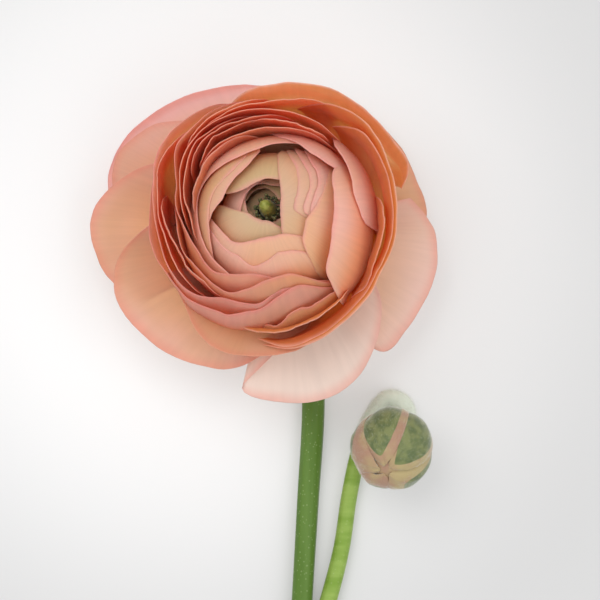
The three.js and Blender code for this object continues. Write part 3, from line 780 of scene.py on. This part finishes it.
def sepal_skin(name, green, dark, buff, rust):
    """Sepal skin: thick green tissue along the middle of each sepal, with fine net and down, and a wide
    papery margin of buff that browns where it ends."""
    material, tree = new_material(name)
    middle = put(tree, "ShaderNodeAttribute", attribute_name="middle").outputs["Fac"]
    place = put(tree, "ShaderNodeTexCoord").outputs["Object"]
    patch, slow, fine = (
        put(tree, "ShaderNodeTexNoise", {"Vector": place, "Scale": scale, "Detail": detail}).outputs[0]
        for scale, detail in ((420.0, 3.0), (150.0, 2.0), (1800.0, 3.0))
    )
    uneven = calculate(tree, "MULTIPLY_ADD", slow, 0.7, middle)
    inner = blend_colours(tree, ramp(tree, patch, 0.35, 0.65), rgba(dark), rgba(green))
    outer = blend_colours(tree, ramp(tree, slow, 0.35, 0.65), rgba(buff), rgba(rust))
    colour = blend_colours(tree, ramp(tree, uneven, 0.75, 0.95), outer, inner)
    relief = {"Height": fine, "Strength": 0.3, "Distance": 0.0002}
    bump = put(tree, "ShaderNodeBump", relief).outputs["Normal"]
    return finish_skin(material, tree, colour, bump, 0.6, 0.6)


def down_hair(name, colour):
    """Fine white plant hairs: thin and hollow, so light goes through them."""
    material, tree = new_material(name)
    body = put(tree, "ShaderNodeBsdfPrincipled", {"Base Color": rgba(colour), "Roughness": 0.6})
    through = put(tree, "ShaderNodeBsdfTranslucent", {"Color": rgba(colour)})
    blend = put(tree, "ShaderNodeMixShader", {0: 0.5, 1: body.outputs[0], 2: through.outputs[0]})
    put(tree, "ShaderNodeOutputMaterial", {"Surface": blend.outputs[0]})
    return material


# ---- Settings ------------------------------------------------------------------------------------


def tint(name, description, hex_colour):
    """A colour setting whose default is an sRGB hex value."""
    return bpy.props.FloatVectorProperty(
        name=name, description=description, subtype="COLOR", default=linear(hex_colour)
    )


class RanunculusSettings(bpy.types.PropertyGroup):
    petal_across: bpy.props.IntProperty(
        name="Petal Faces Across", description="Faces across one petal", default=30, min=6, max=60
    )
    petal_along: bpy.props.IntProperty(
        name="Petal Faces Along", description="Faces from root to edge", default=30, min=6, max=60
    )
    peach: tint("Peach Petal", "Petal tissue with yellow in it", "#EDC496")
    pink: tint("Pink Petal", "Petal tissue with pink in it", "#F0C8B8")
    # Painted shade: root and red are the deep colour that stands for shade and the glow of light through
    # stacked petals low inside the bloom.
    root: tint("Petal Root", "Deep orange low inside", "#F0B277")
    red: tint("Red Root", "Redder orange low inside", "#FCBE9A")
    base: tint("Petal Claw", "Cream at the foot of a petal", "#F8E0BC")
    rim: tint("Petal Rim", "Pink along the edge", "#F0B2A8")
    heart: tint("Heart", "Yellow green in the middle", "#D2C08A")
    cup_peach: tint("Cup Peach", "Peach of the standing petals", "#EDBE96")
    cup_pink: tint("Cup Pink", "Pink of the standing petals", "#F0B8A2")
    cup_rim: tint("Cup Rim", "Pale pink edge of the cup", "#F8D2C2")
    outer_peach: tint("Outer Peach", "Peach of the outer petals", "#EAC6A6")
    outer_pink: tint("Outer Pink", "Pale pink of the outer petals", "#F5D0CA")
    # Painted light: the near white of thin outer petals that light shines through.
    outer_pale: tint("Outer Pale", "Nearly white outer petals", "#F7EAE2")
    outer_rim: tint("Outer Rim", "Pink along the outer petals' edge", "#F0A392")
    # Painted shade: the orange the outer petals turn near the cup, where they lie in its shade.
    outer_root: tint("Outer Root", "Orange of the outer petals near the cup", "#F6D4AE")
    pistil_dark: tint("Pistil Dark", "Deep green of the pistil", "#6F7A2E")
    pistil_light: tint("Pistil Light", "Light green of the pistil", "#A3A553")
    stamen_dark: tint("Stamen Dark", "Deep olive of the stamens", "#474A2C")
    stamen_light: tint("Stamen Light", "Light olive of the stamens", "#8A8A5C")
    sepal_dark: tint("Sepal Dark", "Deep green under the bloom", "#62793A")
    sepal_light: tint("Sepal Light", "Light green under the bloom", "#93A35C")
    core_dark: tint("Receptacle Dark", "Deep green of the receptacle", "#9BA860")
    core_light: tint("Receptacle Light", "Light green of the receptacle", "#C2C786")
    stem_dark: tint("Stem Dark", "Deep green of the stem", "#4A6A1C")
    stem_light: tint("Stem Light", "Light green of the stem", "#57762C")
    branch_dark: tint("Branch Dark", "Deep green of the branch", "#6F8F2C")
    branch_light: tint("Branch Light", "Light green of the branch", "#8AA44C")
    bud_green: tint("Bud Green", "Light green along a sepal", "#757C4E")
    bud_dark: tint("Bud Dark", "Deep green along a sepal", "#57643E")
    bud_buff: tint("Bud Buff", "Papery margin of a sepal", "#A8976C")
    bud_rust: tint("Bud Rust", "Browner margin of a sepal", "#9E7C66")
    hair: tint("Hair", "Down on the bud", "#EDEEE9")


# ---- Operators -----------------------------------------------------------------------------------


def ride(piece, material, slot, *nodes):
    """Gives the piece its material, and has it ride on the part's only body in place of the named nodes.
    The slot is not used."""
    piece.data.materials.append(material)
    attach(piece, "root")
    if nodes:
        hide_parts(*nodes)


def petal_look(s, **changes):
    """The colours and distances of heart tissue, with any changes. Distances are millimetres in from the
    edge: inner is added on the inner face, deep is where the deep colour begins and ends, claw is where
    the cream of the claw does, and margin is how wide the pale rim is. The deep colour, root and red, is
    painted shade and painted glow of light through stacked petals. thin is the share of light that goes
    through."""
    look = {
        "peach": s.peach,
        "pink": s.pink,
        "root": s.root,
        "red": s.red,
        "rim": s.rim,
        "third": s.heart,
        "inner": 5.0,
        "deep": (3.5, 12.0),
        "base": s.base,
        "claw": (14.0, 22.0),
        "cloud": 2.0,
        "margin": 2.6,
        "blush": 0.9,
        "vein": 0.03,
        "thin": 0.45,
    }
    return {**look, **changes}


class RANUNCULUS_OT_heart(bpy.types.Operator):
    """Petals that curl in over the middle of the bloom"""

    bl_idname = "ranunculus.heart"
    bl_label = "Heart Petals"

    def execute(self, context):
        s = context.scene.ranunculus
        petals = []
        for k, (tone, green, *shells, points) in enumerate(HEART):
            across = s.petal_across + 2 * len(points)
            petals.append((points, shells, HEART_SEED + k, tone, green, across, s.petal_along))
        piece = petal_piece("heart_petals", heart_surface, petals)
        ride(piece, petal_tissue("petal tissue, heart", petal_look(s)), "petals", "bloom")
        return {"FINISHED"}


class RANUNCULUS_OT_cup(bpy.types.Operator):
    """Petals that stand round the heart as a cup"""

    bl_idname = "ranunculus.cup"
    bl_label = "Cup Petals"

    def execute(self, context):
        s = context.scene.ranunculus
        petals = []
        for k, (tone, lean, points) in enumerate(CUP):
            points = [(*point, point[1] + lean) for point in points]
            lip = LIP if lean > OPEN else 0
            across = s.petal_across + 4 * len(points)
            petals.append((points, lip, CUP_SEED + k, tone, 0.0, across, s.petal_along))
        look = petal_look(
            s,
            peach=s.cup_peach,
            pink=s.cup_pink,
            rim=s.cup_rim,
            deep=(2.0, 7.5),
            claw=(7.0, 22.0),
            cloud=1.2,
            margin=2.0,
            blush=1.0,
            thin=0.75,
        )
        piece = petal_piece("cup_petals", cup_surface, petals)
        ride(piece, petal_tissue("petal tissue, cup", look), "petals")
        return {"FINISHED"}


class RANUNCULUS_OT_wrap(bpy.types.Operator):
    """Petals that wrap from the cup over the foot of the heart"""

    bl_idname = "ranunculus.wrap"
    bl_label = "Wrapping Petals"

    def execute(self, context):
        s = context.scene.ranunculus
        petals = []
        for k, (tone, points) in enumerate(WRAP):
            across = s.petal_across + 4 * len(points)
            petals.append((points, WRAP_LIP, WRAP_SEED + k, tone, 0.0, across, s.petal_along))
        look = petal_look(
            s, inner=7.0, deep=(6.0, 13.0), claw=(13.0, 26.0), cloud=1.5, margin=2.4, thin=0.65
        )
        piece = petal_piece("wrap_petals", cup_surface, petals)
        ride(piece, petal_tissue("petal tissue, wrap", look), "petals")
        return {"FINISHED"}


class RANUNCULUS_OT_spread(bpy.types.Operator):
    """Outer petals that spread behind the cup"""

    bl_idname = "ranunculus.spread"
    bl_label = "Outer Petals"

    def execute(self, context):
        s = context.scene.ranunculus
        petals = []
        for k, (tone, pale, points) in enumerate(SPREAD):
            across, along = s.petal_across + 3 * len(points), s.petal_along + 8
            petals.append((points, None, SPREAD_SEED + k, tone, pale, across, along))
        look = petal_look(
            s,
            peach=s.outer_peach,
            pink=s.outer_pink,
            root=s.outer_root,
            red=s.outer_root,
            rim=s.outer_rim,
            # painted light: the pale rows turn to this near white of thin petals that light shines
            # through
            third=s.outer_pale,
            inner=0.0,
            # painted shade: the outer petals turn to outer_root near the cup, where they lie in its
            # shade
            deep=(3.0, 20.0),
            claw=(50.0, 60.0),
            margin=4.5,
            blush=0.4,
            vein=0.025,
            thin=0.6,
        )
        piece = petal_piece("outer_petals", spread_surface, petals)
        ride(piece, petal_tissue("petal tissue, outer", look), "petals")
        return {"FINISHED"}


class RANUNCULUS_OT_pistil(bpy.types.Operator):
    """Green pistil and dark stamens in the middle"""

    bl_idname = "ranunculus.pistil"
    bl_label = "Pistil and Stamens"

    def execute(self, context):
        s = context.scene.ranunculus
        radii, levels = np.transpose(PISTIL)
        heights = np.linspace(levels[0], levels[-1], 40)
        widths = np.interp(heights, levels, radii)
        profile = [(0, levels[0]), *zip(widths[1:-1], heights[1:-1]), (0, levels[-1])]
        points, faces = turned(profile, 48, np.eye(3), (0, 0, 0))
        radius = np.hypot(points[:, 0], points[:, 1])
        angle = np.arctan2(points[:, 1], points[:, 0])
        rise = points[:, 2] * 4.2
        rows = np.maximum(0, np.sin(rise + 5 * angle)) * np.maximum(0, np.sin(rise - 8 * angle))
        placed = on_bloom(radius + 0.16 * rows, angle, points[:, 2]) + PISTIL_SHIFT
        piece = make_mesh("pistil_head", placed, faces)
        green = plant_skin("pistil tissue", s.pistil_dark, s.pistil_light, 900, roughness=0.4)
        ride(piece, green, "pistil", "pistil")

        parts = []
        for k in range(STAMENS):
            turn = TAU * k / STAMENS + 0.4 * math.sin(3.7 * k)
            foot, tip = 2.9 + 0.4 * (k % 2), 3.1 + 0.4 * math.sin(5.1 * k)
            top = STAMEN_TOP - 1.6 * (k % 3) / 2
            heights = np.array([STAMEN_FOOT, 20, top - 1.8, top - 1.0, top])
            radii = np.interp(heights, [STAMEN_FOOT, top], [foot, tip])
            line = on_bloom(radii, np.full(5, turn), heights) + PISTIL_SHIFT
            points, faces, _ = rod(np.column_stack([line, STAMEN_RADII]), 12, 6, plain)
            parts.append((points, faces))
        stamens = make_mesh("stamen_ring", *joined(parts))
        olive = plant_skin("stamen tissue", s.stamen_dark, s.stamen_light, 1500, roughness=0.7)
        ride(stamens, olive, "stamens", "stamens")
        return {"FINISHED"}


class RANUNCULUS_OT_calyx(bpy.types.Operator):
    """Receptacle and folded sepals under the bloom"""

    bl_idname = "ranunculus.calyx"
    bl_label = "Calyx"

    def execute(self, context):
        s = context.scene.ranunculus
        parts = []
        for k in range(5):
            u, v = grid(16, 20)
            reach = mix(3, 17 - 2.5 * u**4, v)
            angle = np.radians(20 + 72 * k + 26 * (0.9 - 0.55 * v * v) * u)
            height = -3.85 - 0.012 * (reach - 3) ** 2 + 0.5 * u * u * v
            points, quads, _ = shell(on_bloom(reach, angle, height), 0.5)
            parts.append((points, quads.tolist()))
        parts.append(turned(COLLAR, 40, BLOOM_AXES, BASE))
        piece = make_mesh("calyx_sepals", *joined(parts))
        green = plant_skin("sepal skin", s.sepal_dark, s.sepal_light, 260, roughness=0.55)
        ride(piece, green, "sepals", "calyx")
        receptacle = make_mesh("receptacle", *turned(RECEPTACLE, 40, BLOOM_AXES, BASE))
        pale = plant_skin("receptacle tissue", s.core_dark, s.core_light, 300, roughness=0.5)
        ride(receptacle, pale, "petals")
        return {"FINISHED"}


class RANUNCULUS_OT_stem(bpy.types.Operator):
    """Main stem and the branch that carries the bud"""

    bl_idname = "ranunculus.stem"
    bl_label = "Stem and Branch"

    def execute(self, context):
        s = context.scene.ranunculus
        points, faces, _ = rod(STEM, *STEM_FACES, stem_ribs)
        main = make_mesh("main_stem", points, faces)
        green = plant_skin("stalk skin", s.stem_dark, s.stem_light, 300, (1, 0.1, 1), 0.5, 0.25, 0.18)
        ride(main, green, "stalk", "stem")
        points, faces, share = rod(BRANCH, *BRANCH_FACES, stem_ribs)
        branch = make_mesh("bud_branch", points, faces, {"felt": 0.85 * smooth(*FELT, share)})
        dark, light = s.branch_dark, s.branch_light
        young = plant_skin("young stalk skin", dark, light, 260, (0.3, 1, 0.3), 0.5, 0.3, 0.15)
        ride(branch, young, "stalk")
        return {"FINISHED"}


class RANUNCULUS_OT_bud(bpy.types.Operator):
    """Closed bud and the sepals that wrap it"""

    bl_idname = "ranunculus.bud"
    bl_label = "Bud"

    def execute(self, context):
        s = context.scene.ranunculus
        tall = BUD_PETALS * BUD_TALL
        climb = np.linspace(0, math.pi, 40)[1:-1]
        side = [(BUD_PETALS * math.sin(a), -tall * math.cos(a)) for a in climb]
        points, faces = turned([(0, -tall), *side, (0, tall)], 64, BUD_AXES, BUD_CENTRE)
        ball = make_mesh("bud_ball", points, faces)
        petals = plant_skin("bud petal tissue", s.bud_rust, s.bud_buff, 300, roughness=0.55)
        ride(ball, petals, "bud_petals", "bud_petals")
        parts, middle = [], []
        u, v = grid(*SEPAL_FACES)
        for k, (direction, half_width, green) in enumerate(BUD_WRAP):
            points, quads, _ = shell(bud_sepal_sheet(direction, half_width, SEPAL_SEED + k, u, v), 0.4)
            parts.append((points, quads.tolist()))
            middle.append(np.tile(smooth(1.3, 0.7, (u / 0.72) ** 2 + (v / green) ** 6).ravel(), 2))
        sepals = make_mesh("bud_sepal_wrap", *joined(parts), {"middle": np.concatenate(middle)})
        skin = sepal_skin("bud sepal skin", s.bud_green, s.bud_dark, s.bud_buff, s.bud_rust)
        ride(sepals, skin, "bud_sepals", "bud_sepals")
        return {"FINISHED"}


class RANUNCULUS_OT_down(bpy.types.Operator):
    """White down on the bud's sepals and the stalk behind it"""

    bl_idname = "ranunculus.down"
    bl_label = "Down"

    def execute(self, context):
        white = down_hair("plant hairs", context.scene.ranunculus.hair)
        u, v = grid(*SEPAL_FACES)
        sheets = [
            bud_sepal_sheet(direction, half_width, SEPAL_SEED + k, u, v)[:32]
            for k, (direction, half_width, _) in enumerate(BUD_WRAP)
        ]
        bud = make_mesh("bud_down", *hair_blades(sheets, *BUD_HAIRS))
        ride(bud, white, "bud_sepals")
        steps, around = BRANCH_FACES
        points, _, _ = rod(BRANCH, steps, around, stem_ribs)
        rings = points[:-2].reshape(steps + 1, around, 3)
        crook = make_mesh("branch_down", *hair_blades([rings[CROOK]], *CROOK_HAIRS))
        ride(crook, white, "stalk")
        return {"FINISHED"}


class RANUNCULUS_OT_stage(bpy.types.Operator):
    """Pale floor, soft studio light and the camera above"""

    bl_idname = "ranunculus.stage"
    bl_label = "Stage"

    def execute(self, context):
        mesh = bpy.data.meshes.new("floor")
        corners = [(FLOOR_HALF * x, FLOOR_HALF * y, 0) for x, y in ((-1, -1), (1, -1), (1, 1), (-1, 1))]
        mesh.from_pydata(corners, [], [(0, 1, 2, 3)])
        floor = bpy.data.objects.new("floor", mesh)
        context.collection.objects.link(floor)
        # Painted light: the floor glows with no lamp under it, and its colour and glow fade outward from
        # a bright pool round GLOW_CENTRE.
        glow_floor, tree = new_material("floor with painted glow")
        place = put(tree, "ShaderNodeTexCoord").outputs["Object"]
        spot = put(tree, "ShaderNodeVectorMath", {0: place, 1: GLOW_CENTRE}, operation="DISTANCE")
        shade = ramp(tree, spot.outputs["Value"], *GLOW)
        inputs = {
            "Base Color": calculate(tree, "MULTIPLY", shade, 0.72),
            "Roughness": 0.9,
            "Emission Strength": 0.36,
            "Emission Color": shade,
        }
        white = put(tree, "ShaderNodeBsdfPrincipled", inputs)
        put(tree, "ShaderNodeOutputMaterial", {"Surface": white.outputs[0]})
        mesh.materials.append(glow_floor)

        world = bpy.data.worlds.new("studio")
        context.scene.world = world
        world.use_nodes = True
        world.node_tree.nodes["Background"].inputs["Color"].default_value = (1, 1, 1, 1)
        world.node_tree.nodes["Background"].inputs["Strength"].default_value = 0.88

        for name, spot, width, power in LIGHTS:
            data = bpy.data.lights.new(name, "AREA")
            data.size = width
            data.energy = power
            lamp = bpy.data.objects.new(name, data)
            context.collection.objects.link(lamp)
            lamp.location = spot
            lamp.rotation_mode = "QUATERNION"
            lamp.rotation_quaternion = (Vector(LIGHTS_AIM) - Vector(spot)).to_track_quat("-Z", "Y")

        data = bpy.data.cameras.new("camera")
        data.sensor_width = SENSOR
        data.lens = SENSOR * (CAMERA[2] - FOCUS_HEIGHT) / FRAME_WIDTH
        camera = bpy.data.objects.new("camera", data)
        context.collection.objects.link(camera)
        camera.location = CAMERA
        context.scene.camera = camera
        context.scene.view_settings.view_transform = "Standard"
        context.scene.cycles.diffuse_bounces = 10
        context.scene.cycles.max_bounces = 16
        return {"FINISHED"}


class RANUNCULUS_PT_panel(bpy.types.Panel):
    bl_idname = "RANUNCULUS_PT_panel"
    bl_label = "Ranunculus"
    bl_space_type = "VIEW_3D"
    bl_region_type = "UI"
    bl_category = "Ranunculus"

    def draw(self, context):
        for name in RanunculusSettings.__annotations__:
            self.layout.prop(context.scene.ranunculus, name)
        for operator in OPERATORS:
            self.layout.operator(operator.bl_idname)


OPERATORS = (
    RANUNCULUS_OT_stage,
    RANUNCULUS_OT_heart,
    RANUNCULUS_OT_cup,
    RANUNCULUS_OT_wrap,
    RANUNCULUS_OT_spread,
    RANUNCULUS_OT_pistil,
    RANUNCULUS_OT_calyx,
    RANUNCULUS_OT_stem,
    RANUNCULUS_OT_bud,
    RANUNCULUS_OT_down,
)
CLASSES = (RanunculusSettings, *OPERATORS, RANUNCULUS_PT_panel)


def register():
    for item in CLASSES:
        bpy.utils.register_class(item)
    bpy.types.Scene.ranunculus = bpy.props.PointerProperty(type=RanunculusSettings)


def unregister():
    del bpy.types.Scene.ranunculus
    for item in reversed(CLASSES):
        bpy.utils.unregister_class(item)


def main():
    register()
    for operator in OPERATORS:
        group, name = operator.bl_idname.split(".")
        getattr(getattr(bpy.ops, group), name)()
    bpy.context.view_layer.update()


if __name__ == "__main__":
    main()
